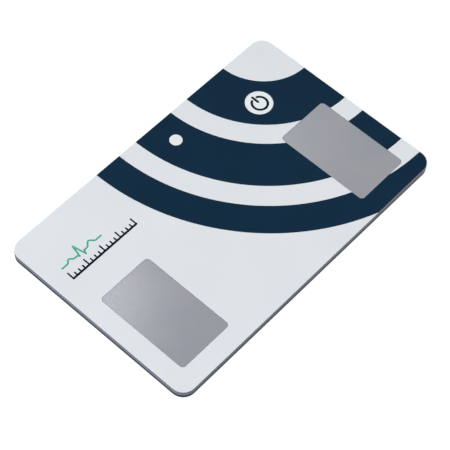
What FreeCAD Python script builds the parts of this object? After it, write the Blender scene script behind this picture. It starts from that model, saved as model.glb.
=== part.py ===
"""A card-sized home ECG monitor, in millimetres: a laminated card with two flush steel electrodes,
a sprung power button, a status light and the thin electronics that they need.

Frame: the origin is the centre of the back face, +X runs along the card's long side, +Y across it
towards the side with the power button, and +Z points out of the front face.
"""

import FreeCAD
import Part

import math
import os

Vector = FreeCAD.Vector
origin = Vector(0, 0, 0)
up = Vector(0, 0, 1)

# --- Outline -----------------------------------------------------------------------------------
card_length = 85.60          # the long and short side of a bank card
card_width = 53.98
card_corner_radius = 3.30

# --- Layers, from the back face up -------------------------------------------------------------
cover_floor = 0.50           # floor of the rear cover
cover_rim_height = 0.95      # rear cover's outer wall, floor included
bond_thickness = 0.05        # every glue line and tape
deck_clearance = 0.10        # frame's deck above the battery
deck_thickness = 0.45        # frame's plate under the film
film_thickness = 0.25        # printed front film

# --- Rear cover, frame and film ----------------------------------------------------------------
cover_wall = 1.20            # width of the rear cover's wall
cover_edge_radius = 0.30     # round on the card's back edge
frame_wall = 2.20            # width of the frame's wall
frame_edge_break = 0.08      # chamfer on the frame's outer corners, above and below
nest_clearance = 0.10        # frame's skirt inside the rear cover
skirt_lift = 0.10            # skirt above the rear cover's floor
bond_setback = 0.12          # glue line stops this far inside the card's edge
film_setback = 0.04          # film stops this far inside the card's edge
film_edge_break = 0.05       # chamfer on the film's upper edge

# --- Electrodes --------------------------------------------------------------------------------
electrode_width = 15.00      # along X
electrode_length = 25.00     # along Y
electrode_corner_radius = 1.00
electrode_margin = 5.00      # from the card's side and lower edge
electrode_thickness = 0.30
electrode_edge_break = 0.05  # chamfer round the electrode's face
window_clearance = 0.06      # film and frame around an electrode
gasket_setback = 0.20
gasket_width = 1.60

# --- Electrode springs -------------------------------------------------------------------------
spring_gauge = 0.12
spring_width = 1.50          # along Y
spring_foot = 1.30           # straight foot on the circuit
spring_arm = 0.80            # straight arm under the electrode
spring_spacing = 9.00        # between the two springs of one electrode
spring_slot_clearance = 0.20

# --- Power button and its switch ---------------------------------------------------------------
button_from_side = 15.70     # button's centre, from the card's right edge
button_from_top = 13.25      # and from its upper edge
button_radius = 3.42
button_gap = 0.06            # film around the button
button_flange_width = 0.90   # flange that the film holds down
button_flange_thickness = 0.25
button_edge_break = 0.05
well_clearance = 0.20        # frame around the flange
actuator_radius = 1.10
actuator_clearance = 0.02    # actuator above the dome, which isn't loaded at rest
dome_radius = 3.00           # dome's spring sheet, before its sides are trimmed
dome_rise = 0.34
dome_gauge = 0.07
dome_steps = 4               # rings that the sheet is pressed in
dome_square = 5.20           # square that the sheet is trimmed to, which leaves four legs
contact_thickness = 0.03
contact_ring_width = 0.70
contact_centre_radius = 0.90
locator_thickness = 0.18
locator_side = 8.60
locator_clearance = 0.10     # locator's hole around the dome

# --- Status light ------------------------------------------------------------------------------
light_from_side = 37.50      # light's centre, from the card's right edge
light_from_top = 6.45        # and from its upper edge
light_radius = 1.56
light_clearance = 0.04       # film and frame around the light guide
light_flange_width = 0.65
light_flange_thickness = 0.20
light_barrel_radius = 1.10
lamp_size = (1.60, 0.80, 0.40)
lamp_air_gap = 0.10          # light guide above the lamp

# --- Flexible circuit --------------------------------------------------------------------------
circuit_thickness = 0.12
circuit_edge_gap = 0.50      # circuit inside the frame's wall
circuit_leg_width = 9.00     # legs that reach under the electrodes
circuit_margin = 2.25        # circuit past the switch and the lowest spring
circuit_corner_radius = 1.20
circuit_tape_setback = 0.60

# --- Battery -----------------------------------------------------------------------------------
battery_height = 1.10
battery_corner_radius = 1.50
battery_shoulder = 0.35      # chamfer where the foil is drawn over the cell
battery_tape_setback = 1.50
seal_width = 1.50            # flat sealed edge of the pouch
seal_thickness = 0.12
tab_width = 3.00
tab_thickness = 0.10
tab_spacing = 20.00
tab_free_length = 3.40       # tab between the pouch and the circuit
tab_overlap = 1.60           # tab on the circuit
fence_width = 0.60           # low ribs that locate the battery
fence_height = 0.30
fence_length = 18.00
fence_gap = 0.30

# --- Ribs and pins of the rear cover -----------------------------------------------------------
rib_width = 1.20             # ribs that hold the deck up, along Y
rib_length = 5.00
rib_gap = 0.80               # between a rib and the circuit
rib_spacing = 12.60          # between the ribs of one column
pin_radius = 0.60            # pins that locate the circuit
pin_clearance = 0.15
pin_spacing = 40.00
pin_from_edge = 2.00         # from the circuit's upper edge

# --- Chips and small parts on the circuit: length, width, height -------------------------------
radio_chip_size = (6.00, 6.00, 0.55)
front_end_chip_size = (4.20, 4.20, 0.50)
regulator_size = (2.00, 2.00, 0.50)
inductor_size = (2.00, 1.60, 0.60)
radio_crystal_size = (2.00, 1.60, 0.45)
clock_crystal_size = (1.60, 1.00, 0.45)
capacitor_size = (1.00, 0.50, 0.50)
resistor_size = (1.00, 0.50, 0.33)
diode_size = (1.00, 0.60, 0.45)
terminal_length = 0.25       # metal end of a chip capacitor or resistor
terminal_step = 0.03         # its rise over the ceramic
lead_pitch = 0.80            # leads along a chip's sides
lead_width = 0.40
lead_depth = 0.04            # notches between the leads
part_pitch = 1.60            # between small parts in a row
part_gap = 0.90              # from a chip's edge to the middle of the parts beside it
chip_gap = 2.20              # between the parts beside two chips
switch_gap = 0.60            # between the switch and the crystals

# --- Copper on the circuit ---------------------------------------------------------------------
copper_thickness = 0.035
antenna_trace = 0.60
antenna_pitch = 1.50
antenna_length = 11.00       # along Y
antenna_turns = 5
antenna_from_edge = 0.90     # from the circuit's left edge
test_pad_side = 1.00
test_pad_pitch = 1.80
test_pad_count = 5
test_pad_from_edge = 2.50    # from the circuit's right edge

# --- Heights that follow -----------------------------------------------------------------------
z_floor = cover_floor
z_frame = cover_rim_height + bond_thickness
z_tape_top = z_floor + bond_thickness
z_circuit = z_tape_top + circuit_thickness
z_deck = z_tape_top + battery_height + deck_clearance
z_deck_top = z_deck + deck_thickness
z_film = z_deck_top + bond_thickness
z_top = z_film + film_thickness
z_electrode = z_top - electrode_thickness
z_gasket = z_electrode - bond_thickness
z_flange = z_film - button_flange_thickness
z_dome = z_circuit + contact_thickness
z_dome_top = z_dome + dome_rise
z_light_flange = z_film - light_flange_thickness
z_light_foot = z_circuit + lamp_size[2] + lamp_air_gap

# --- Places that follow ------------------------------------------------------------------------
half_length = card_length / 2
half_width = card_width / 2
electrode_x = half_length - electrode_margin - electrode_width / 2
electrode_y = -half_width + electrode_margin + electrode_length / 2
spring_rows = (electrode_y - spring_spacing / 2, electrode_y + spring_spacing / 2)
button_x = half_length - button_from_side
button_y = half_width - button_from_top
flange_radius = button_radius + button_flange_width
well_radius = flange_radius + well_clearance
light_x = half_length - light_from_side
light_y = half_width - light_from_top
light_flange_radius = light_radius + light_flange_width

circuit_side = half_length - frame_wall - circuit_edge_gap
strip_top_y = half_width - frame_wall - circuit_edge_gap
strip_low_y = button_y - locator_side / 2 - circuit_margin
strip_mid_y = (strip_top_y + strip_low_y) / 2
leg_inner_x = electrode_x - circuit_leg_width / 2
leg_outer_x = electrode_x + circuit_leg_width / 2
leg_low_y = spring_rows[0] - spring_width / 2 - circuit_margin

rib_columns = (leg_inner_x - rib_gap - rib_width / 2, leg_outer_x + rib_gap + rib_width / 2)
rib_rows = (electrode_y - rib_spacing / 2, electrode_y + rib_spacing / 2)
pin_y = strip_top_y - pin_from_edge
pin_columns = (-pin_spacing / 2, pin_spacing / 2)

fence_x = rib_columns[0] - rib_width / 2 - fence_gap - fence_width / 2
fence_y = -half_width + frame_wall + fence_gap + fence_width / 2
seal_side = fence_x - fence_width / 2 - fence_gap
seal_low_y = fence_y + fence_width / 2 + fence_gap
seal_top_y = strip_low_y - tab_free_length
battery_length = 2 * (seal_side - seal_width)
battery_width = seal_top_y - seal_low_y - 2 * seal_width
battery_y = (seal_top_y + seal_low_y) / 2

crystal_x = button_x - locator_side / 2 - switch_gap - radio_crystal_size[0] / 2
radio_x = crystal_x - radio_crystal_size[0] / 2 - switch_gap - radio_chip_size[0] / 2
regulator_x = radio_x - radio_chip_size[0] / 2 - part_gap - chip_gap - regulator_size[0] / 2
inductor_x = regulator_x - regulator_size[0] / 2 - part_gap - inductor_size[0] / 2
front_end_x = inductor_x - inductor_size[0] / 2 - chip_gap - part_gap - front_end_chip_size[0] / 2


# --- Shared shapes -----------------------------------------------------------------------------
def rounded_prism(corners, radius, bottom, top):
    """A prism over a polygon whose corners are rounded, whichever way they turn."""
    points = [Vector(x, y, bottom) for x, y in corners]
    arcs = []
    for i, corner in enumerate(points):
        back = (points[i - 1] - corner).normalize()
        ahead = (points[(i + 1) % len(points)] - corner).normalize()
        half_angle = back.getAngle(ahead) / 2
        reach = radius / math.tan(half_angle)
        middle = (back + ahead).normalize() * (radius / math.sin(half_angle) - radius)
        arcs.append((corner + back * reach, corner + middle, corner + ahead * reach))
    edges = []
    for i, (start, middle, end) in enumerate(arcs):
        edges.append(Part.Arc(start, middle, end).toShape())
        edges.append(Part.LineSegment(end, arcs[(i + 1) % len(arcs)][0]).toShape())
    return Part.Face(Part.Wire(edges)).extrude(up * (top - bottom))


def plate(x, y, length, width, radius, bottom, top):
    """An upright plate with rounded corners, centred on x, y."""
    sides = (x - length / 2, x + length / 2)
    ends = (y - width / 2, y + width / 2)
    corners = [(sides[0], ends[0]), (sides[1], ends[0]), (sides[1], ends[1]), (sides[0], ends[1])]
    return rounded_prism(corners, radius, bottom, top)


def card_plate(inset, bottom, top):
    """The card's own outline, moved in by inset."""
    length, width = card_length - 2 * inset, card_width - 2 * inset
    return plate(0, 0, length, width, card_corner_radius - inset, bottom, top)


def electrode_plate(side, grow, bottom, top):
    """The outline of the left (-1) or right (1) electrode, grown all round."""
    length, width = electrode_width + 2 * grow, electrode_length + 2 * grow
    return plate(side * electrode_x, electrode_y, length, width, electrode_corner_radius + grow, bottom, top)


def disc(x, y, radius, bottom, top):
    return Part.makeCylinder(radius, top - bottom, Vector(x, y, bottom))


def block(x, y, size, bottom):
    length, width, height = size
    return Part.makeBox(length, width, height, Vector(x - length / 2, y - width / 2, bottom))


def turned(x, y, profile):
    """A solid of revolution about an upright axis, from (radius, height) points."""
    points = [Vector(radius, 0, height) for radius, height in profile]
    solid = Part.Face(Part.makePolygon(points + points[:1])).revolve(origin, up, 360)
    solid.translate(Vector(x, y, 0))
    return solid


def edges_at(shape, height):
    """The edges of a shape that lie wholly at one height."""
    flat = [edge for edge in shape.Edges if edge.BoundBox.ZLength < 1e-6]
    return [edge for edge in flat if abs(edge.BoundBox.ZMin - height) < 1e-6]


def join(shapes):
    return shapes[0].multiFuse(shapes[1:]).removeSplitter()


# --- Casing ------------------------------------------------------------------------------------
def rear_cover():
    """Shallow tray with a fence round the battery, ribs under the deck and pins for the circuit."""
    tray = card_plate(0, 0, cover_rim_height)
    tray = tray.makeFillet(cover_edge_radius, edges_at(tray, 0))
    tray = tray.cut(card_plate(cover_wall, z_floor, cover_rim_height))
    fence = [block(0, fence_y, (fence_length, fence_width, fence_height), z_floor)]
    for side in (-1, 1):
        fence.append(block(side * fence_x, battery_y, (fence_width, fence_length, fence_height), z_floor))
    rib = (rib_width, rib_length, z_deck - z_floor)
    ribs = [block(side * x, y, rib, z_floor) for side in (-1, 1) for x in rib_columns for y in rib_rows]
    pins = [disc(x, pin_y, pin_radius, z_floor, z_deck) for x in pin_columns]
    return join([tray, *fence, *ribs, *pins])


def core_frame():
    """Outer wall, a skirt that nests in the rear cover, and a deck with wells under the film."""
    frame = card_plate(0, z_frame, z_deck_top)
    frame = frame.makeChamfer(frame_edge_break, edges_at(frame, z_frame) + edges_at(frame, z_deck_top))
    frame = frame.fuse(card_plate(cover_wall + nest_clearance, z_floor + skirt_lift, z_frame))
    frame = frame.cut(card_plate(frame_wall, z_floor + skirt_lift, z_deck))
    frame = frame.cut(disc(button_x, button_y, well_radius, z_deck, z_deck_top))
    for radius, bottom in ((light_barrel_radius, z_deck), (light_flange_radius, z_light_flange)):
        frame = frame.cut(disc(light_x, light_y, radius + light_clearance, bottom, z_deck_top))
    for side in (-1, 1):
        frame = frame.cut(electrode_plate(side, window_clearance, z_gasket, z_deck_top))
        for y in spring_rows:
            frame = frame.cut(spring_slot(side, y))
    return frame.removeSplitter()


def perimeter_bond():
    """Glue line between the rear cover's wall and the frame."""
    line = card_plate(bond_setback, cover_rim_height, z_frame)
    return line.cut(card_plate(cover_wall, cover_rim_height, z_frame))


def front_adhesive():
    """Transfer tape between the frame's deck and the film."""
    tape = card_plate(bond_setback, z_deck_top, z_film)
    tape = tape.cut(disc(button_x, button_y, well_radius, z_deck_top, z_film))
    tape = tape.cut(disc(light_x, light_y, light_flange_radius + light_clearance, z_deck_top, z_film))
    for side in (-1, 1):
        tape = tape.cut(electrode_plate(side, window_clearance, z_deck_top, z_film))
    return tape


def front_film():
    """Printed film with windows for the electrodes, the button and the light."""
    film = card_plate(film_setback, z_film, z_top)
    film = film.makeChamfer(film_edge_break, edges_at(film, z_top))
    film = film.cut(disc(button_x, button_y, button_radius + button_gap, z_film, z_top))
    film = film.cut(disc(light_x, light_y, light_radius + light_clearance, z_film, z_top))
    for side in (-1, 1):
        film = film.cut(electrode_plate(side, window_clearance, z_film, z_top))
    return film


# --- Electrodes --------------------------------------------------------------------------------
def electrode(side):
    steel = electrode_plate(side, 0, z_electrode, z_top)
    return steel.makeChamfer(electrode_edge_break, edges_at(steel, z_top))


def electrode_gasket(side):
    """Ring of sealing tape that holds an electrode on the deck."""
    ring = electrode_plate(side, -gasket_setback, z_gasket, z_electrode)
    inset = 2 * (gasket_setback + gasket_width)
    hole = (electrode_width - inset, electrode_length - inset, bond_thickness)
    return ring.cut(block(side * electrode_x, electrode_y, hole, z_gasket))


def spring_radius():
    """Outer radius of a spring's bend, which fills the space from circuit to electrode."""
    return (z_electrode - z_circuit) / 2


def spring_slot(side, y):
    """Slot in the deck that one spring stands in."""
    length = spring_foot + spring_radius() + 2 * spring_slot_clearance
    width = spring_width + 2 * spring_slot_clearance
    return block(side * electrode_x, y, (length, width, z_gasket - z_deck), z_deck)


def contact_spring(side, y):
    """Leaf bent to a C: its foot is soldered to the circuit, its arm presses on the electrode."""
    outer = spring_radius()
    inner = outer - spring_gauge
    bend = Vector(side * electrode_x + (spring_foot - outer) / 2, y - spring_width / 2, z_circuit + outer)

    def at(x, z):
        return bend + Vector(x, 0, z)

    outline = [
        Part.LineSegment(at(-spring_foot, -outer), at(0, -outer)),
        Part.Arc(at(0, -outer), at(outer, 0), at(0, outer)),
        Part.LineSegment(at(0, outer), at(-spring_arm, outer)),
        Part.LineSegment(at(-spring_arm, outer), at(-spring_arm, inner)),
        Part.LineSegment(at(-spring_arm, inner), at(0, inner)),
        Part.Arc(at(0, inner), at(inner, 0), at(0, -inner)),
        Part.LineSegment(at(0, -inner), at(-spring_foot, -inner)),
        Part.LineSegment(at(-spring_foot, -inner), at(-spring_foot, -outer)),
    ]
    profile = Part.Face(Part.Wire([curve.toShape() for curve in outline]))
    return profile.extrude(Vector(0, spring_width, 0))


def electrode_springs():
    return [contact_spring(side, y) for side in (-1, 1) for y in spring_rows]


# --- Power button and switch -------------------------------------------------------------------
def power_button():
    """Flush key: a crown in the film's hole, over a flange that the film holds down."""
    return turned(button_x, button_y, [
        (0, z_flange), (flange_radius, z_flange), (flange_radius, z_film), (button_radius, z_film),
        (button_radius, z_top - button_edge_break), (button_radius - button_edge_break, z_top), (0, z_top),
    ])


def button_actuator():
    """Post under the key that presses the middle of the dome."""
    return disc(button_x, button_y, actuator_radius, z_dome_top + actuator_clearance, z_flange)


def snap_dome():
    """Spring dome with four legs: a thin shallow dish, face down, whose sides are trimmed to a square."""
    radii = [dome_radius * i / dome_steps for i in range(dome_steps + 1)]
    outside = [(r, z_dome_top - dome_rise * (r / dome_radius) ** 2) for r in radii]
    inside = [(r, z - dome_gauge) for r, z in reversed(outside)]
    dish = turned(button_x, button_y, outside + inside)
    return dish.common(block(button_x, button_y, (dome_square, dome_square, dome_rise), z_dome))


def switch_contacts():
    """Gold ring under the dome's legs and gold pad under its middle."""
    ring = disc(button_x, button_y, dome_radius, z_circuit, z_dome)
    ring = ring.cut(disc(button_x, button_y, dome_radius - contact_ring_width, z_circuit, z_dome))
    return [ring, disc(button_x, button_y, contact_centre_radius, z_circuit, z_dome)]


def dome_locator():
    """Spacer film whose round hole keeps the dome in place."""
    top = z_circuit + locator_thickness
    film = block(button_x, button_y, (locator_side, locator_side, locator_thickness), z_circuit)
    return film.cut(disc(button_x, button_y, dome_radius + locator_clearance, z_circuit, top))


# --- Status light ------------------------------------------------------------------------------
def light_guide():
    """Milky window with a flange under the film and a barrel down to the lamp."""
    return turned(light_x, light_y, [
        (0, z_light_foot), (light_barrel_radius, z_light_foot), (light_barrel_radius, z_light_flange),
        (light_flange_radius, z_light_flange), (light_flange_radius, z_film),
        (light_radius, z_film), (light_radius, z_top), (0, z_top),
    ])


def status_lamp():
    """A lens on a thinner base whose two ends are soldered."""
    length, width, height = lamp_size
    base = block(light_x, light_y, (length, width, height / 3), z_circuit)
    return base.fuse(block(light_x, light_y, (length / 2, width, height), z_circuit)).removeSplitter()


# --- Circuit and battery -----------------------------------------------------------------------
def flex_circuit():
    """A strip along the card's upper side, with a leg down to each electrode."""
    right = [
        (leg_inner_x, strip_low_y), (leg_inner_x, leg_low_y), (leg_outer_x, leg_low_y),
        (leg_outer_x, strip_low_y), (circuit_side, strip_low_y), (circuit_side, strip_top_y),
    ]
    outline = right + [(-x, y) for x, y in reversed(right)]
    board = rounded_prism(outline, circuit_corner_radius, z_tape_top, z_circuit)
    for x in pin_columns:
        board = board.cut(disc(x, pin_y, pin_radius + pin_clearance, z_tape_top, z_circuit))
    return board


def circuit_tape():
    """One tape under the strip, below its pins, and one under each leg."""
    strip_length = 2 * (circuit_side - circuit_tape_setback)
    strip_low = strip_low_y + circuit_tape_setback
    strip_high = pin_y - pin_radius - circuit_tape_setback
    leg_width = circuit_leg_width - 2 * circuit_tape_setback
    leg_low = leg_low_y + circuit_tape_setback
    strip = (strip_length, strip_high - strip_low, bond_thickness)
    leg = (leg_width, strip_low_y - leg_low, bond_thickness)
    legs = [block(side * electrode_x, (strip_low_y + leg_low) / 2, leg, z_floor) for side in (-1, 1)]
    return [block(0, (strip_low + strip_high) / 2, strip, z_floor), *legs]


def battery_cell():
    """Foil pouch: a drawn cell with sloped shoulders and a flat sealed edge."""
    top = z_tape_top + battery_height
    cell = plate(0, battery_y, battery_length, battery_width, battery_corner_radius, z_tape_top, top)
    cell = cell.makeChamfer(battery_shoulder, edges_at(cell, top))
    length, width = battery_length + 2 * seal_width, battery_width + 2 * seal_width
    seal_top = z_circuit + seal_thickness
    seal = plate(0, battery_y, length, width, battery_corner_radius, z_circuit, seal_top)
    return cell.fuse(seal).removeSplitter()


def battery_tape():
    length, width = battery_length - 2 * battery_tape_setback, battery_width - 2 * battery_tape_setback
    return plate(0, battery_y, length, width, battery_corner_radius, z_floor, z_tape_top)


def battery_tabs():
    """Two nickel strips from the pouch's sealed edge to the circuit."""
    length = tab_free_length + tab_overlap
    size = (tab_width, length, tab_thickness)
    return [block(side * tab_spacing / 2, seal_top_y + length / 2, size, z_circuit) for side in (-1, 1)]


# --- Chips and small parts ---------------------------------------------------------------------
def leaded_chip(x, size):
    """Flat package, in line with the button, with notches between its leads on all four sides."""
    length, width, height = size
    notch = (lead_pitch - lead_width, 2 * lead_depth, height / 3)
    notches = []
    for turn, run, reach in ((0, length, width), (90, width, length)):
        count = int(run / lead_pitch) - 1
        for i in range(count):
            for side in (-1, 1):
                cut = block((i - (count - 1) / 2) * lead_pitch, side * reach / 2, notch, z_circuit)
                cut.rotate(origin, up, turn)
                notches.append(cut)
    chip = block(0, 0, size, z_circuit).cut(Part.makeCompound(notches))
    chip.translate(Vector(x, button_y, 0))
    return chip


def small_part(x, y, size, turn=0):
    """Chip capacitor or resistor: a ceramic body between two slightly thicker metal ends."""
    length, width, height = size
    body = block(0, 0, (length, width - 2 * terminal_step, height - terminal_step), z_circuit)
    end = (terminal_length, width, height)
    ends = [block(side * (length - terminal_length) / 2, 0, end, z_circuit) for side in (-1, 1)]
    part = join([body, *ends])
    part.rotate(origin, up, turn)
    part.translate(Vector(x, y, 0))
    return part


def spread(middle, count, pitch=part_pitch):
    """Evenly spaced places about a middle."""
    return [middle + (i - (count - 1) / 2) * pitch for i in range(count)]


def crystals():
    places = zip(spread(button_y, 2, 2 * part_pitch), (radio_crystal_size, clock_crystal_size))
    return [block(crystal_x, y, size, z_circuit) for y, size in places]


def chip_capacitors():
    """A row under the radio chip, a column beside it, a row over the front end, two by the regulator."""
    under_radio = button_y - radio_chip_size[1] / 2 - part_gap
    beside_radio = radio_x - radio_chip_size[0] / 2 - part_gap
    over_front_end = button_y + front_end_chip_size[1] / 2 + part_gap
    under_regulator = button_y - regulator_size[1] / 2 - part_gap
    return [
        *[small_part(x, under_radio, capacitor_size) for x in spread(radio_x, 4)],
        *[small_part(beside_radio, y, capacitor_size, 90) for y in spread(button_y, 3)],
        *[small_part(x, over_front_end, capacitor_size) for x in spread(front_end_x, 3)],
        *[small_part(x, under_regulator, capacitor_size) for x in spread(regulator_x, 2)],
    ]


def chip_resistors():
    """A column on each side of the front end, and one on each side of the lamp."""
    beside_front_end = front_end_chip_size[0] / 2 + part_gap
    beside_lamp = lamp_size[0] / 2 + part_gap
    parts = []
    for side in (-1, 1):
        column_x = front_end_x + side * beside_front_end
        parts += [small_part(column_x, y, resistor_size) for y in spread(button_y, 3)]
        parts.append(small_part(light_x + side * beside_lamp, light_y, resistor_size, 90))
    return parts


def protection_diodes():
    """A clamp diode on each leg, between the strip and the springs."""
    y = (strip_low_y + spring_rows[1]) / 2
    return [block(side * electrode_x, y, diode_size, z_circuit) for side in (-1, 1)]


def printed_antenna():
    """Meander of copper at the circuit's left end."""
    first = -circuit_side + antenna_from_edge + antenna_trace / 2
    link_y = (antenna_length - antenna_trace) / 2
    run = (antenna_trace, antenna_length, copper_thickness)
    link = (antenna_pitch, antenna_trace, copper_thickness)
    columns = [first + antenna_pitch * i for i in range(antenna_turns)]
    traces = [block(x, strip_mid_y, run, z_circuit) for x in columns]
    for i, x in enumerate(columns[:-1]):
        y = strip_mid_y + (link_y if i % 2 else -link_y)
        traces.append(block(x + antenna_pitch / 2, y, link, z_circuit))
    return join(traces)


def test_pads():
    """Gold pads near the circuit's right end."""
    x = circuit_side - test_pad_from_edge
    pad = (test_pad_side, test_pad_side, copper_thickness)
    return [block(x, y, pad, z_circuit) for y in spread(strip_mid_y, test_pad_count, test_pad_pitch)]


# --- Every node --------------------------------------------------------------------------------
nodes = {
    "rear_cover": rear_cover(),
    "perimeter_bond": perimeter_bond(),
    "core_frame": core_frame(),
    "front_adhesive": front_adhesive(),
    "front_film": front_film(),
    "left_electrode": electrode(-1),
    "right_electrode": electrode(1),
    "left_gasket": electrode_gasket(-1),
    "right_gasket": electrode_gasket(1),
    "electrode_springs": electrode_springs(),
    "power_button": power_button(),
    "button_actuator": button_actuator(),
    "snap_dome": snap_dome(),
    "switch_contacts": switch_contacts(),
    "dome_locator": dome_locator(),
    "light_guide": light_guide(),
    "status_lamp": status_lamp(),
    "flex_circuit": flex_circuit(),
    "circuit_tape": circuit_tape(),
    "battery_cell": battery_cell(),
    "battery_tape": battery_tape(),
    "battery_tabs": battery_tabs(),
    "radio_chip": leaded_chip(radio_x, radio_chip_size),
    "front_end_chip": leaded_chip(front_end_x, front_end_chip_size),
    "regulator_chip": block(regulator_x, button_y, regulator_size, z_circuit),
    "power_inductor": block(inductor_x, button_y, inductor_size, z_circuit),
    "crystals": crystals(),
    "chip_capacitors": chip_capacitors(),
    "chip_resistors": chip_resistors(),
    "protection_diodes": protection_diodes(),
    "printed_antenna": printed_antenna(),
    "test_pads": test_pads(),
}

os.makedirs("parts", exist_ok=True)
for name, shape in nodes.items():
    solids = Part.makeCompound(shape) if isinstance(shape, list) else shape
    solids.exportStep(f"parts/{name}.step")
    print(name, len(solids.Solids), "solids", round(solids.Volume, 3), "mm3")
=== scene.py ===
import math

import bpy
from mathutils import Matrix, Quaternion, Vector, geometry


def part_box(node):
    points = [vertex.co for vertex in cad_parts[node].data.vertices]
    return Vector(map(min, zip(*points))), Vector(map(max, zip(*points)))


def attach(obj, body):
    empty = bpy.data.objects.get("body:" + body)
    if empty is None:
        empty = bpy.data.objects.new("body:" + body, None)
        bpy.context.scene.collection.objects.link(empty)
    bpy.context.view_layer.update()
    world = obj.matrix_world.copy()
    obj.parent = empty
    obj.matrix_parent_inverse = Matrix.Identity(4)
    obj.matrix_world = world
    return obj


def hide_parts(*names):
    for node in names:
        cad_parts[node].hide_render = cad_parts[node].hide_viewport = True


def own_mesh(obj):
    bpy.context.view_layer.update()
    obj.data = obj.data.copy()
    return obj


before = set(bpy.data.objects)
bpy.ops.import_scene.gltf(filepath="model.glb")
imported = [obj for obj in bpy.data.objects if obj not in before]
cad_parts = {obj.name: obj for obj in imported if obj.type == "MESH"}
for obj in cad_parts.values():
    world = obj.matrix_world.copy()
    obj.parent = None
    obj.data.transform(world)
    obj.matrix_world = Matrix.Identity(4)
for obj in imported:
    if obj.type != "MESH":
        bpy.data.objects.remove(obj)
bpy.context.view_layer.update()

mm = 0.001
bodyOfCard = "card"
bodyOfKey = "button"


# Colours and nodes

def toLinear(hexColour):
    # one sRGB hex colour as the linear numbers that sockets take
    channels = [int(hexColour[i:i + 2], 16) / 255 for i in (1, 3, 5)]
    linear = [c / 12.92 if c <= 0.04045 else ((c + 0.055) / 1.055) ** 2.4 for c in channels]
    return (*linear, 1)


def addNode(tree, kind, settings=None, links=None):
    # settings in lower case are the node's own options, the others are its sockets' values
    node = tree.nodes.new(kind)
    for name, value in (settings or {}).items():
        if isinstance(name, str) and name[0].islower():
            setattr(node, name, value)
        else:
            node.inputs[name].default_value = value
    for name, source in (links or {}).items():
        tree.links.new(source, node.inputs[name])
    return node


cloudiness = {
    "roughness": 0.55,     # how much its finer patches count
    "range": (0.3, 0.7),   # where nearly all of its values lie
}


def perMetre(size):
    # a noise scale that gives patches of that size in mm
    return 1 / (size * mm)


def noise(tree, place, size, detail=2):
    # fine or coarse cloudiness, from 0 to 1, with patches of that size in mm
    settings = {"Scale": perMetre(size), "Detail": detail, "Roughness": cloudiness["roughness"]}
    return addNode(tree, "ShaderNodeTexNoise", settings, {"Vector": place}).outputs["Fac"]


def spread(tree, source, low, high):
    # a cloudiness spread over a range of values
    fromLow, fromHigh = cloudiness["range"]
    settings = {"From Min": fromLow, "From Max": fromHigh, "To Min": low, "To Max": high}
    return addNode(tree, "ShaderNodeMapRange", settings, {"Value": source}).outputs["Result"]


def finish(name, look):
    # One finish from its dictionary. colours are the two ends of its cloudiness, mottle and grain
    # are pattern sizes in mm, depth is the grain's height in mm, and stretch draws the grain out
    # along X, Y or Z, as brushing or rolling does. The real grain of the coats, moulded faces and
    # metals is mostly finer than 0.05 mm, too fine to show, so it is drawn coarser.
    material = bpy.data.materials.new(name)
    material.use_nodes = True
    tree = material.node_tree
    tree.nodes.clear()
    place = addNode(tree, "ShaderNodeTexCoord").outputs["Object"]
    stretch = {"operation": "DIVIDE", 1: look.get("stretch", (1, 1, 1))}
    drawnOut = addNode(tree, "ShaderNodeVectorMath", stretch, {0: place}).outputs[0]
    mottle = noise(tree, place, look["mottle"], detail=3)
    grain = noise(tree, drawnOut, look["grain"])
    darker, lighter = (toLinear(hexColour) for hexColour in look["colours"])
    ends = {"data_type": "RGBA", 6: darker, 7: lighter}
    colour = addNode(tree, "ShaderNodeMix", ends, {0: spread(tree, mottle, 0, 1)}).outputs[2]
    relief = {"Distance": look["depth"] * mm}
    bump = addNode(tree, "ShaderNodeBump", relief, {"Height": grain}).outputs["Normal"]
    surface = addNode(
        tree, "ShaderNodeBsdfPrincipled",
        {"Metallic": look.get("metallic", 0), "IOR": look.get("ior", 1.5), **look.get("extra", {})},
        {"Base Color": colour, "Roughness": spread(tree, grain, *look["roughness"]), "Normal": bump},
    )
    addNode(tree, "ShaderNodeOutputMaterial", links={"Surface": surface.outputs["BSDF"]})
    return material


# Camera

cameraView = {
    "lens": 132.70,                        # mm, on a sensor 36 mm wide
    "place": (-164.27, -131.19, 319.87),   # mm
    "aim": (-4.285, -3.771, 2.50),         # mm
    "roll": 4.452,                         # degrees, right side up
}


def makeCamera(view):
    camera = bpy.data.objects.new("camera", bpy.data.cameras.new("camera"))
    bpy.context.scene.collection.objects.link(camera)
    camera.data.lens = view["lens"]
    camera.location = Vector(view["place"]) * mm
    ahead = Vector(view["aim"]) - Vector(view["place"])
    roll = Quaternion((0, 0, 1), math.radians(view["roll"]))
    camera.rotation_mode = "QUATERNION"
    camera.rotation_quaternion = ahead.to_track_quat("-Z", "Y") @ roll
    bpy.context.scene.camera = camera


makeCamera(cameraView)
bpy.context.scene.view_settings.view_transform = "Standard"
print("camera ready")


# Light and floor

studio = {
    "seen": (1.0, 0.66),    # world's strength as seen or mirrored, white low down and dimmer overhead
    "fade": (0.25, 0.80),   # sine of the elevation where the white starts to fade and where it is gone
    "ambient": 0.63,        # world's strength as light
    "lamps": {              # power in W, side in m, place in m, whether gloss mirrors it
        "keyFromLeft": (24.6, 1.30, (-1.25, -0.10, 1.21), False),
        "glintOnLeftPlate": (0.0054, 0.03, (0.220, 0.270, 0.640), True),
        "glintOnRightPlate": (0.0022, 0.03, (0.388, 0.268, 0.640), True),
    },
    "floorSide": 3.0,       # m
    "floorColour": "#A2A2A5",
    "floorGlow": 0.78,      # lifts the lit floor to white and leaves the shadow
    "floorDrop": 0.02,      # mm under the card, so that no two faces meet
}


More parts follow.
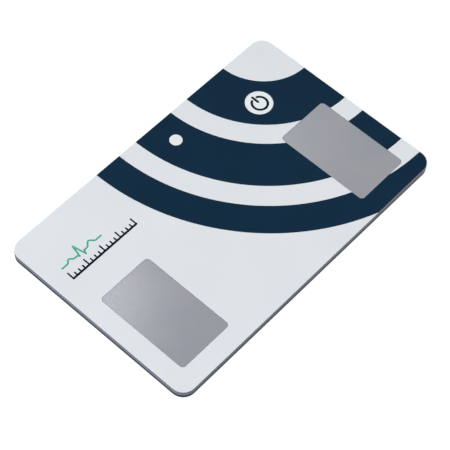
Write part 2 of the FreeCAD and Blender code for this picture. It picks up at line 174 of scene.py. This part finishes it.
def seenRays(tree):
    # 1 for the rays that show the surroundings: straight, in a gloss or through glass
    ray = addNode(tree, "ShaderNodeLightPath").outputs
    seen = ray["Is Camera Ray"]
    for other in ("Is Glossy Ray", "Is Transmission Ray"):
        either = {0: seen, 1: ray[other]}
        seen = addNode(tree, "ShaderNodeMath", {"operation": "MAXIMUM"}, either).outputs[0]
    return seen


def makeWorld(look):
    world = bpy.data.worlds.new("softStudio")
    world.use_nodes = True
    bpy.context.scene.world = world
    tree = world.node_tree
    tree.nodes.clear()
    direction = addNode(tree, "ShaderNodeTexCoord").outputs["Generated"]
    height = addNode(tree, "ShaderNodeSeparateXYZ", links={0: direction}).outputs["Z"]
    seen = addNode(tree, "ShaderNodeMapRange", {
        "interpolation_type": "SMOOTHSTEP",
        "From Min": look["fade"][0], "From Max": look["fade"][1],
        "To Min": look["seen"][0], "To Max": look["seen"][1],
    }, {"Value": height}).outputs["Result"]
    strength = addNode(
        tree, "ShaderNodeMix", {"data_type": "FLOAT", 2: look["ambient"]}, {0: seenRays(tree), 3: seen}
    ).outputs[0]
    background = addNode(tree, "ShaderNodeBackground", links={"Strength": strength})
    addNode(tree, "ShaderNodeOutputWorld", links={"Surface": background.outputs[0]})


def makeLamps(look):
    for name, (power, side, place, mirrored) in look["lamps"].items():
        lamp = bpy.data.lights.new(name, "AREA")
        lamp.energy = power
        lamp.size = side
        holder = bpy.data.objects.new(name, lamp)
        bpy.context.scene.collection.objects.link(holder)
        holder.location = place
        holder.rotation_euler = (-Vector(place)).to_track_quat("-Z", "Y").to_euler()
        holder.visible_camera = False
        holder.visible_glossy = mirrored


def makeFloor(look):
    half = look["floorSide"] / 2
    height = -look["floorDrop"] * mm
    corners = [(x * half, y * half, height) for x, y in ((-1, -1), (1, -1), (1, 1), (-1, 1))]
    mesh = bpy.data.meshes.new("floor")
    mesh.from_pydata(corners, [], [(0, 1, 2, 3)])
    floor = bpy.data.objects.new("floor", mesh)
    bpy.context.scene.collection.objects.link(floor)
    material = bpy.data.materials.new("whitePaperSweep")
    material.use_nodes = True
    tree = material.node_tree
    tree.nodes.clear()
    glow = addNode(
        tree, "ShaderNodeMath", {"operation": "MULTIPLY", 1: look["floorGlow"]}, {0: seenRays(tree)}
    ).outputs[0]
    paper = addNode(tree, "ShaderNodeBsdfDiffuse", {"Color": toLinear(look["floorColour"])}).outputs[0]
    light = addNode(tree, "ShaderNodeEmission", links={"Strength": glow}).outputs[0]
    both = addNode(tree, "ShaderNodeAddShader", links={0: paper, 1: light}).outputs[0]
    addNode(tree, "ShaderNodeOutputMaterial", links={"Surface": both})
    mesh.materials.append(material)


makeWorld(studio)
makeLamps(studio)
makeFloor(studio)
print("light and floor ready")


# Outlines, in mm, as lists of points

def arc(centre, radius, start, end, step=3):
    # points along an arc, its angles in degrees, anticlockwise
    count = max(2, math.ceil((end - start) / step))
    angles = [math.radians(start + (end - start) * i / count) for i in range(count + 1)]
    x, y = centre[:2]
    return [Vector((x + radius * math.cos(a), y + radius * math.sin(a))) for a in angles]


def disc(centre, radius, step=3):
    return arc(centre, radius, 0, 360, step)[:-1]


def roundedBox(centre, halfSize, radius, step=6):
    corners = [(1, 1, 0), (-1, 1, 90), (-1, -1, 180), (1, -1, 270)]
    outline = []
    for x, y, start in corners:
        middle = (centre[0] + x * (halfSize[0] - radius), centre[1] + y * (halfSize[1] - radius))
        outline += arc(middle, radius, start, start + 90, step)
    return outline


def stroke(path, width, sharpest=35, capStep=24):
    # A line of even width with round ends, as overlapping outlines: a four-sided one for each run,
    # and a disc at each end and at each corner of more than sharpest degrees.
    runs = [(b - a).normalized() for a, b in zip(path, path[1:])]
    sides = [Vector((-run.y, run.x)) * width / 2 for run in runs]
    outlines = []
    ends = []
    for i in range(len(path)):
        before, after = sides[max(i - 1, 0)], sides[min(i, len(sides) - 1)]
        inner = 0 < i < len(path) - 1
        if inner and before.angle(after) < math.radians(sharpest):
            middle = (before + after).normalized() * width / 2
            ends.append((middle, middle))
        else:
            ends.append((before, after))
            outlines.append(disc(path[i], width / 2, capStep))
    for i, (a, b) in enumerate(zip(path, path[1:])):
        start, end = ends[i][1], ends[i + 1][0]
        outlines.append([a - start, b - end, b + end, a + start])
    return outlines


def isInside(point, outline):
    # whether a point lies within an outline, by the crossings of a line to its right
    inside = False
    x, y = point
    for a, b in zip(outline, outline[-1:] + outline[:-1]):
        if (a.y > y) != (b.y > y) and x < a.x + (y - a.y) * (b.x - a.x) / (b.y - a.y):
            inside = not inside
    return inside


# Printed plates: a flat face split along each printed outline, over walls that step down

plateMesh = {
    "mergeWithin": 1e-5,   # mm, points nearer than this are one
    "crispFrom": 25,       # degrees between two faces, from which their edge stays crisp
    "mapName": "OFBake",   # the map that the inks are baked through
    "mapGap": 0.015,       # between two islands on the map, as a share of the plate's length
    "hiddenShare": 0.25,   # of its height that the underside keeps on the map
}
bpy.context.scene.render.bake.margin_type = "EXTEND"   # a baked ink runs on past its printed edge


def splitFace(layers):
    # Triangles over all outlines, each with the ink of the last layer that covers it. The first
    # layer is the face's own outline, and a layer whose ink is None is a hole.
    points, edges, boxes = [], [], []
    for _, outline in layers:
        first = len(points)
        points += outline
        edges += [(first + i, first + (i + 1) % len(outline)) for i in range(len(outline))]
        xs, ys = [p.x for p in outline], [p.y for p in outline]
        boxes.append((min(xs), max(xs), min(ys), max(ys)))
    found, _, triangles, *_ = geometry.delaunay_2d_cdt(points, edges, [], 0, plateMesh["mergeWithin"])
    inked = []
    for triangle in triangles:
        middle = (found[triangle[0]] + found[triangle[1]] + found[triangle[2]]) / 3
        if not isInside(middle, layers[0][1]):
            continue
        for (ink, outline), (left, right, low, high) in zip(reversed(layers), reversed(boxes)):
            if left < middle.x < right and low < middle.y < high and isInside(middle, outline):
                break
        if ink:
            inked.append((tuple(triangle), ink))
    return found, inked


def addMap(mesh, laidOut):
    # One island for each ink and one for the underside with its walls, all in one column, so that
    # no two inks share a pixel of a bake and a printed edge stays as sharp as the mesh. laidOut
    # has each face's island, None for the underside's, and its corners' places there in mm.
    islands = {}
    for island, places in laidOut:
        islands.setdefault(island, []).extend(places)
    across = [p.x for p in islands[None]]
    gap = (max(across) - min(across)) * plateMesh["mapGap"]
    shifts = {}
    right, top = 0, gap
    for island, places in islands.items():
        xs, ys = [p.x for p in places], [p.y for p in places]
        share = 1 if island else plateMesh["hiddenShare"]
        shifts[island] = (gap - min(xs), top - min(ys) * share, share)
        right = max(right, max(xs) - min(xs) + 2 * gap)
        top += (max(ys) - min(ys)) * share + gap
    spots = []
    for island, places in laidOut:
        x, y, share = shifts[island]
        for place in places:
            spots += ((place.x + x) / right, (place.y * share + y) / top)
    mesh.uv_layers.new(name=plateMesh["mapName"]).uv.foreach_set("vector", spots)


def printedPlate(name, layers, inks, rim, steps):
    # rim is the plate's own outline: its centre, the half-size of the box between its corners'
    # centres and its corner radius. steps are (outset, height) from the face's edge down the side,
    # and the last is the underside. inks are {ink: material}, the first of them on the walls.
    points, inked = splitFace(layers)
    centre, halfBox, radius = rim

    def outward(point):
        # from the box between the corners' centres out to the point
        offset = point - centre
        return offset - Vector([max(-h, min(h, v)) for h, v in zip(halfBox, offset)])

    def moved(point, outset):
        away = outward(point)
        return point + away.normalized() * (radius + outset - away.length)

    used = sorted({i for triangle, _ in inked for i in triangle})
    owners = {}
    for triangle, ink in inked:
        for a, b in zip(triangle, triangle[1:] + triangle[:1]):
            owners[a, b] = ink
    border = [(a, b) for a, b in owners if (b, a) not in owners]
    onRim = {i for edge in border for i in edge if outward(points[i]).length > radius / 2}

    vertices, faces, slots = [], [], []
    levels = []   # vertex numbers by point, for the face and then each step

    def addLevel(height, outset, indices):
        levels.append({})
        for i in indices:
            levels[-1][i] = len(vertices)
            flat = moved(points[i], outset) if i in onRim and outset else points[i]
            vertices.append(Vector((*flat, height)) * mm)

    addLevel(steps[0][1], 0, used)
    for outset, height in steps[1:-1]:
        addLevel(height, outset, sorted(onRim))
    addLevel(steps[-1][1], steps[-1][0], used)

    order = list(inks)
    laidOut = []   # each face's island on the map, and the places of its corners there

    def addFace(corners, ink, places):
        faces.append(corners)
        slots.append(order.index(ink) if ink else 0)
        laidOut.append((ink, places))

    def onPlan(i):
        return vertices[i].xy / mm

    for triangle, ink in inked:
        face = [levels[0][i] for i in triangle]
        underside = [levels[-1][i] for i in reversed(triangle)]
        addFace(face, ink, [onPlan(i) for i in face])
        addFace(underside, None, [onPlan(i) for i in underside])
    for a, b in border:
        ring = levels if a in onRim and b in onRim else [levels[0], levels[-1]]
        along = (points[b] - points[a]).normalized()
        away = Vector((along.y, -along.x))
        runs = [0]   # mm down the side from the face's edge to each level
        for high, low in zip(ring, ring[1:]):
            runs.append(runs[-1] + (vertices[high[a]] - vertices[low[a]]).length / mm)
        for row, (high, low) in enumerate(zip(ring, ring[1:])):
            printed = row == 0 and len(ring) > 2
            ink = owners[a, b] if printed else None
            # a wall lies beside the flat face that it is unrolled from
            root, start = (ring[0], 0) if printed else (ring[-1], runs[-1])
            up, down = (away * abs(start - run) for run in runs[row:row + 2])
            rootA, rootB = onPlan(root[a]), onPlan(root[b])
            places = [rootB + up, rootA + up, rootA + down, rootB + down]
            addFace([high[b], high[a], low[a], low[b]], ink, places)

    mesh = bpy.data.meshes.new(name)
    mesh.from_pydata(vertices, [], faces)
    addMap(mesh, laidOut)
    for material in inks.values():
        mesh.materials.append(material)
    mesh.polygons.foreach_set("material_index", slots)
    mesh.shade_smooth()
    mesh.set_sharp_from_angle(angle=math.radians(plateMesh["crispFrom"]))
    mesh.validate()
    plate = bpy.data.objects.new(name, mesh)
    bpy.context.scene.collection.objects.link(plate)
    return plate


# Front film

# White screen ink under a matt hard coat: even, cool and pale, with a soft sheen.
whiteScreenInk = finish("whiteScreenInkUnderMattCoat", {
    "colours": ("#DEE3E8", "#E2E6EA"), "mottle": 14, "grain": 0.30, "depth": 0.0012,
    "roughness": (0.38, 0.46), "ior": 1.5,
})
# Navy screen ink under the same coat: deep blue with the coat's faint haze.
navyScreenInk = finish("navyScreenInkUnderMattCoat", {
    "colours": ("#08273D", "#0B2A41"), "mottle": 9, "grain": 0.30, "depth": 0.0012,
    "roughness": (0.40, 0.48), "ior": 1.5, "extra": {"Specular IOR Level": 0.1},
})
# Green screen ink: one flat spot colour.
greenScreenInk = finish("greenScreenInkUnderMattCoat", {
    "colours": ("#3FA687", "#47AC8D"), "mottle": 3, "grain": 0.30, "depth": 0.0012,
    "roughness": (0.38, 0.46), "ior": 1.5,
})
# Near-black screen ink for the fine marks.
darkScreenInk = finish("darkScreenInkUnderMattCoat", {
    "colours": ("#06121D", "#0A1824"), "mottle": 3, "grain": 0.30, "depth": 0.0012,
    "roughness": (0.40, 0.48), "ior": 1.5, "extra": {"Specular IOR Level": 0.1},
})

# Cut edge of the clear polyester: a cloudy grey, with the dark card showing through.
cutPolyesterEdge = finish("cutPolyesterFilmEdge", {
    "colours": ("#8F929E", "#999CA8"), "mottle": 2.5, "grain": 0.12, "depth": 0.003,
    "roughness": (0.40, 0.55), "ior": 1.6,
})

film = {
    "edgeBreak": 0.05,             # mm, chamfer on the upper edge
    "cornerRadius": 3.26,          # mm, the card's less the film's setback
    "electrodeGap": 0.03,          # mm around each electrode
    "electrodeCorner": 1.00,       # mm, the electrode's own corner radius
    "keyHole": 3.48,               # mm, radius
    "lightHole": 1.60,             # mm, radius
    # mm, outer radii about the upper right corner, navy and white by turns
    "ringEdges": (57.5, 50.0, 44.5, 32.5, 27.0, 14.0),
    "ringSpan": (172, 278),        # degrees
    "ringStep": 1.5,               # degrees between points
}

# The mark at the upper left: one heartbeat over a time scale, as on a chart.
chartMark = {
    "left": -38.0,                 # mm
    "beatLine": 14.6,              # mm, height of the trace's rest line
    "beatWidth": 0.44,             # mm, line
    "beatStart": 1.6,              # mm, rest line before the first wave
    "firstWave": (2.2, 0.75),      # mm, length and height of the rounded wave before the spike
    # mm from that wave's end, the spike's corners
    "spike": ((0.9, 0), (1.25, -0.45), (1.95, 2.55), (2.70, -0.95), (3.10, 0), (4.0, 0)),
    "lastWave": (2.8, 1.05),       # mm, the rounded wave after it
    "wavePieces": 14,              # straight runs in a wave
    "beatEnd": 1.6,                # mm, rest line after the last wave
    "scaleLine": 11.0,             # mm, height of the time scale
    "scaleLength": 20.0,           # mm
    "scaleWidth": 0.56,            # mm, line
    "tickWidth": 0.40,             # mm
    "tickPitch": 1.25,             # mm
    "tickHeights": (0.95, 1.85),   # mm, short and long
    "ticksToLong": 4,              # every fourth is long
}


def heartbeat(look):
    # the trace's path: rest, a rounded wave, the spike, a rounded wave, rest
    path = [Vector((look["left"], look["beatLine"]))]

    def ahead(points):
        start = Vector((path[-1].x, look["beatLine"]))
        path.extend(start + Vector(point) for point in points)

    def wave(size):
        length, height = size
        shares = [i / look["wavePieces"] for i in range(1, look["wavePieces"] + 1)]
        ahead([(length * t, height * math.sin(math.pi * t) ** 2) for t in shares])

    ahead([(look["beatStart"], 0)])
    wave(look["firstWave"])
    ahead(look["spike"])
    wave(look["lastWave"])
    ahead([(look["beatEnd"], 0)])
    return path


def timeScale(look):
    # the scale's line and its ticks, each as a path and a width
    left, line = look["left"], look["scaleLine"]
    yield [Vector((left, line)), Vector((left + look["scaleLength"], line))], look["scaleWidth"]
    count = round(look["scaleLength"] / look["tickPitch"])
    for i in range(count + 1):
        x = left + i * look["tickPitch"]
        height = look["tickHeights"][i % look["ticksToLong"] == 0]
        yield [Vector((x, line)), Vector((x, line + height))], look["tickWidth"]


def inMm(box):
    return [Vector(corner) / mm for corner in box]


def centreAndHalf(node):
    low, high = inMm(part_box(node))
    return (low + high) / 2, (high - low) / 2


def makeFilm(look):
    low, high = inMm(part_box("front_film"))
    half = (high - low) / 2
    radius = look["cornerRadius"] - look["edgeBreak"]
    faceHalf = Vector((half.x - look["edgeBreak"], half.y - look["edgeBreak"]))
    layers = [("white", roundedBox((0, 0), faceHalf, radius))]
    corner = (high.x, high.y)
    for i, ringRadius in enumerate(look["ringEdges"]):
        ring = arc(corner, ringRadius, *look["ringSpan"], look["ringStep"]) + [Vector(corner)]
        layers.append((("navy", "white")[i % 2], ring))
    for outline in stroke(heartbeat(chartMark), chartMark["beatWidth"]):
        layers.append(("green", outline))
    for path, width in timeScale(chartMark):
        layers += [("dark", outline) for outline in stroke(path, width)]
    for node in ("left_electrode", "right_electrode"):
        centre, size = centreAndHalf(node)
        gap = look["electrodeGap"]
        window = roundedBox(centre, (size.x + gap, size.y + gap), look["electrodeCorner"] + gap)
        layers.append((None, window))
    for node, hole in (("power_button", look["keyHole"]), ("light_guide", look["lightHole"])):
        centre, _ = centreAndHalf(node)
        layers.append((None, disc(centre, hole)))
    inks = {
        "cut": cutPolyesterEdge, "white": whiteScreenInk, "navy": navyScreenInk,
        "green": greenScreenInk, "dark": darkScreenInk,
    }
    rim = (Vector((0, 0)), (faceHalf.x - radius, faceHalf.y - radius), radius)
    steps = [(0, high.z), (look["edgeBreak"], high.z - look["edgeBreak"]), (look["edgeBreak"], low.z)]
    plate = printedPlate("printedFilm", layers, inks, rim, steps)
    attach(plate, bodyOfCard)
    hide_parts("front_film")


makeFilm(film)
print("film ready")


# Power key

# White polycarbonate key, moulded with a fine satin face.
satinKeyWhite = finish("satinMouldedKeyPolycarbonate", {
    "colours": ("#E6EDF1", "#EBF1F4"), "mottle": 5, "grain": 0.25, "depth": 0.0012,
    "roughness": (0.36, 0.46), "ior": 1.585,
})

key = {
    "faceRadius": 3.42,            # mm, flush crown
    "edgeBreak": 0.05,             # mm
    "flangeTop": 2.25,             # mm, underside of the film
    "symbolDrop": 0.24,            # mm, the ring's centre below the key's
    "ringRadius": 1.93,            # mm, middle of the line
    "ringGap": 25,                 # degrees to each side of the bar
    "ringStep": 6,                 # degrees between points
    "barEnds": (0.35, 2.16),       # mm above the key's centre
    "lineWidth": 0.62,             # mm
}


def makeKey(look):
    low, high = inMm(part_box("power_button"))
    middle = (low + high) / 2
    centre = Vector((middle.x, middle.y))
    faceRadius = look["faceRadius"] - look["edgeBreak"]
    flangeOutset = (high.x - low.x) / 2 - faceRadius
    ringCentre = centre - Vector((0, look["symbolDrop"]))
    ringStart, ringEnd = 90 + look["ringGap"], 450 - look["ringGap"]   # the bar is at 90 degrees
    ring = arc(ringCentre, look["ringRadius"], ringStart, ringEnd, look["ringStep"])
    bar = [centre + Vector((0, y)) for y in look["barEnds"]]
    layers = [("white", disc(centre, faceRadius))]
    for path in (ring, bar):
        layers += [("dark", outline) for outline in stroke(path, look["lineWidth"])]
    steps = [
        (0, high.z),
        (look["edgeBreak"], high.z - look["edgeBreak"]), (look["edgeBreak"], look["flangeTop"]),
        (flangeOutset, look["flangeTop"]), (flangeOutset, low.z),
    ]
    inks = {"white": satinKeyWhite, "dark": darkScreenInk}
    plate = printedPlate("flushPowerKey", layers, inks, (centre, (0, 0), faceRadius), steps)
    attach(plate, bodyOfKey)
    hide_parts("power_button")


makeKey(key)
print("key ready")


# Switch dome

# Stainless spring sheet, pressed to a dish: bright, with faint rolling lines.
rolledDomeSteel = finish("rolledStainlessSpringSheet", {
    "colours": ("#B9BBBE", "#C9CACC"), "mottle": 1.5, "grain": 0.06, "depth": 0.0004,
    "stretch": (1, 12, 1), "roughness": (0.16, 0.26), "metallic": 1,
})

dome = {
    "radius": 3.00,                # mm, the sheet before its sides are trimmed
    "gauge": 0.07,                 # mm
    "rings": 10,
    "turnStep": 5,                 # degrees between spokes
    "crispFrom": 40,               # degrees between two faces, from which their edge stays crisp
    "pressedShare": 0.38,          # of its height that is left when the key is down
}


def makeDome(look):
    # a shallow dish whose sides are trimmed to a square, so that it stands on four corners
    low, high = inMm(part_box("snap_dome"))
    middle = (low + high) / 2
    halfSide = (high.x - low.x) / 2
    rise = high.z - low.z - look["gauge"]
    turns = [math.radians(a) for a in range(0, 360, look["turnStep"])]
    count = len(turns)

    def point(turn, share, drop):
        reach = min(look["radius"], halfSide / max(abs(math.cos(turn)), abs(math.sin(turn)))) * share
        z = high.z - rise * (reach / look["radius"]) ** 2 - drop
        return Vector((middle.x + reach * math.cos(turn), middle.y + reach * math.sin(turn), z)) * mm

    vertices, faces = [], []
    for drop in (0, look["gauge"]):
        vertices.append(Vector((middle.x, middle.y, high.z - drop)) * mm)
        for ring in range(1, look["rings"] + 1):
            vertices += [point(turn, ring / look["rings"], drop) for turn in turns]
    sheet = 1 + look["rings"] * count
    for side in (0, 1):
        first = side * sheet
        for i in range(count):
            j = (i + 1) % count
            quads = [[first, first + 1 + i, first + 1 + j]]
            for ring in range(look["rings"] - 1):
                inner, outer = first + 1 + ring * count, first + 1 + (ring + 1) * count
                quads.append([inner + i, outer + i, outer + j, inner + j])
            faces += [face[::-1] for face in quads] if side else quads
    rimTop, rimLow = 1 + (look["rings"] - 1) * count, sheet + 1 + (look["rings"] - 1) * count
    for i in range(count):
        j = (i + 1) % count
        faces.append([rimTop + j, rimTop + i, rimLow + i, rimLow + j])
    mesh = bpy.data.meshes.new("fourLegDome")
    mesh.from_pydata(vertices, [], faces)
    mesh.materials.append(rolledDomeSteel)
    mesh.shade_smooth()
    mesh.set_sharp_from_angle(angle=math.radians(look["crispFrom"]))
    piece = bpy.data.objects.new("fourLegDome", mesh)
    bpy.context.scene.collection.objects.link(piece)
    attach(piece, bodyOfCard)
    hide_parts("snap_dome")
    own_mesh(piece)


makeDome(dome)
print("dome ready")


# Finishes of the pieces that keep their own solids

def dress(material, *names):
    for name in names:
        for slot in range(len(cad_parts[name].material_slots)):
            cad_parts[name].material_slots[slot].material = material


# Stainless plate, fine satin: even grey with short soft brush lines along the plate's length.
satinStainless = finish("satinBrushedStainlessPlate", {
    "colours": ("#C4C8D2", "#CDCFD6"), "mottle": 11, "grain": 0.16, "depth": 0.0001,
    "stretch": (1, 14, 1), "roughness": (0.16, 0.18), "metallic": 1,
})
# Mid-grey polycarbonate, moulded with a fine spark-eroded grain: dull, a little violet.
mouldedFrameGrey = finish("sparkGrainedFramePolycarbonate", {
    "colours": ("#696E7D", "#6F7484"), "mottle": 6, "grain": 0.18, "depth": 0.004,
    "roughness": (0.48, 0.60), "ior": 1.585, "extra": {"Specular IOR Level": 0.25},
})
# Dark blue-grey polycarbonate with a coarser grain that hides fingerprints on the back.
mouldedCoverGrey = finish("grainedCoverPolycarbonate", {
    "colours": ("#191C2B", "#1F2233"), "mottle": 8, "grain": 0.35, "depth": 0.008,
    "roughness": (0.50, 0.64), "ior": 1.585, "extra": {"Specular IOR Level": 0.12},
})
# Milky polycarbonate window that scatters the lamp behind it.
milkyWindow = finish("milkyDiffuserPolycarbonate", {
    "colours": ("#E4EAEA", "#EBEFEF"), "mottle": 2.5, "grain": 0.20, "depth": 0.0008,
    "roughness": (0.30, 0.40), "ior": 1.585,
})
# Black acrylic bonding tape: soft, dull and slightly open at its cut edge.
blackBondTape = finish("blackAcrylicBondTape", {
    "colours": ("#2A2A2E", "#34343A"), "mottle": 1.2, "grain": 0.15, "depth": 0.006,
    "roughness": (0.62, 0.78), "ior": 1.48,
})
# Clear acrylic transfer tape on a white carrier, as under the circuit and the cell.
paleCarrierTape = finish("acrylicTapeOnTissueCarrier", {
    "colours": ("#C9C7BE", "#D8D6CE"), "mottle": 1.0, "grain": 0.12, "depth": 0.008,
    "roughness": (0.42, 0.58), "ior": 1.48,
})
# White polyester sheet that holds the dome in its round hole.
spacerPolyester = finish("whitePolyesterSpacerSheet", {
    "colours": ("#CBCBC6", "#D6D6D2"), "mottle": 3, "grain": 0.2, "depth": 0.002,
    "roughness": (0.30, 0.42), "ior": 1.6,
})
# Polyimide coverlay over copper: amber, with a cloudy gloss from the adhesive under it.
amberPolyimide = finish("amberPolyimideCoverlay", {
    "colours": ("#8F5A1E", "#A56A26"), "mottle": 1.8, "grain": 0.25, "depth": 0.004,
    "roughness": (0.26, 0.40), "ior": 1.7,
})
# Aluminium laminate drawn over the cell: pale metal with a fine pressed pebble.
laminateFoil = finish("drawnAluminiumLaminateFoil", {
    "colours": ("#BFC0C3", "#CBCCCE"), "mottle": 7, "grain": 0.55, "depth": 0.010,
    "roughness": (0.28, 0.42), "metallic": 1,
})
# Nickel strip with rolling lines along the pull.
rolledNickel = finish("rolledNickelStrip", {
    "colours": ("#B5B0A4", "#C4BFB3"), "mottle": 1.5, "grain": 0.08, "depth": 0.0006,
    "stretch": (1, 15, 1), "roughness": (0.22, 0.34), "metallic": 1,
})
# Hard gold over nickel: warm, bright and slightly orange-peeled.
platedGold = finish("hardGoldPlatedCopper", {
    "colours": ("#D9AE57", "#E3BC68"), "mottle": 0.8, "grain": 0.12, "depth": 0.0008,
    "roughness": (0.18, 0.28), "metallic": 1,
})
# Etched copper under a thin organic coat: rosy, with darker oxidised clouds.
etchedCopper = finish("etchedCopperFoil", {
    "colours": ("#B87355", "#CC8866"), "mottle": 0.9, "grain": 0.10, "depth": 0.0012,
    "roughness": (0.30, 0.42), "metallic": 1,
})
# Black epoxy moulding compound with a spark-eroded top.
epoxyPackage = finish("blackEpoxyPackage", {
    "colours": ("#18181A", "#222225"), "mottle": 0.6, "grain": 0.07, "depth": 0.002,
    "roughness": (0.52, 0.68), "ior": 1.55,
})
# Sintered ceramic, tan and chalky with fine pores.
firedCeramic = finish("sinteredTanCeramic", {
    "colours": ("#9A7E5E", "#AD9070"), "mottle": 0.25, "grain": 0.06, "depth": 0.002,
    "roughness": (0.50, 0.66), "ior": 1.7,
})

dress(satinStainless, "left_electrode", "right_electrode")
dress(mouldedFrameGrey, "core_frame")
dress(mouldedCoverGrey, "rear_cover")
dress(milkyWindow, "light_guide", "status_lamp")
dress(blackBondTape, "perimeter_bond", "front_adhesive", "left_gasket", "right_gasket")
dress(paleCarrierTape, "circuit_tape", "battery_tape")
dress(satinKeyWhite, "button_actuator")
dress(spacerPolyester, "dome_locator")
dress(amberPolyimide, "flex_circuit")
dress(laminateFoil, "battery_cell")
dress(rolledNickel, "battery_tabs", "crystals")
dress(platedGold, "electrode_springs", "switch_contacts", "test_pads")
dress(etchedCopper, "printed_antenna")
dress(epoxyPackage, "radio_chip", "front_end_chip", "regulator_chip")
dress(epoxyPackage, "power_inductor", "protection_diodes")
dress(firedCeramic, "chip_capacitors", "chip_resistors")
print("finishes ready")
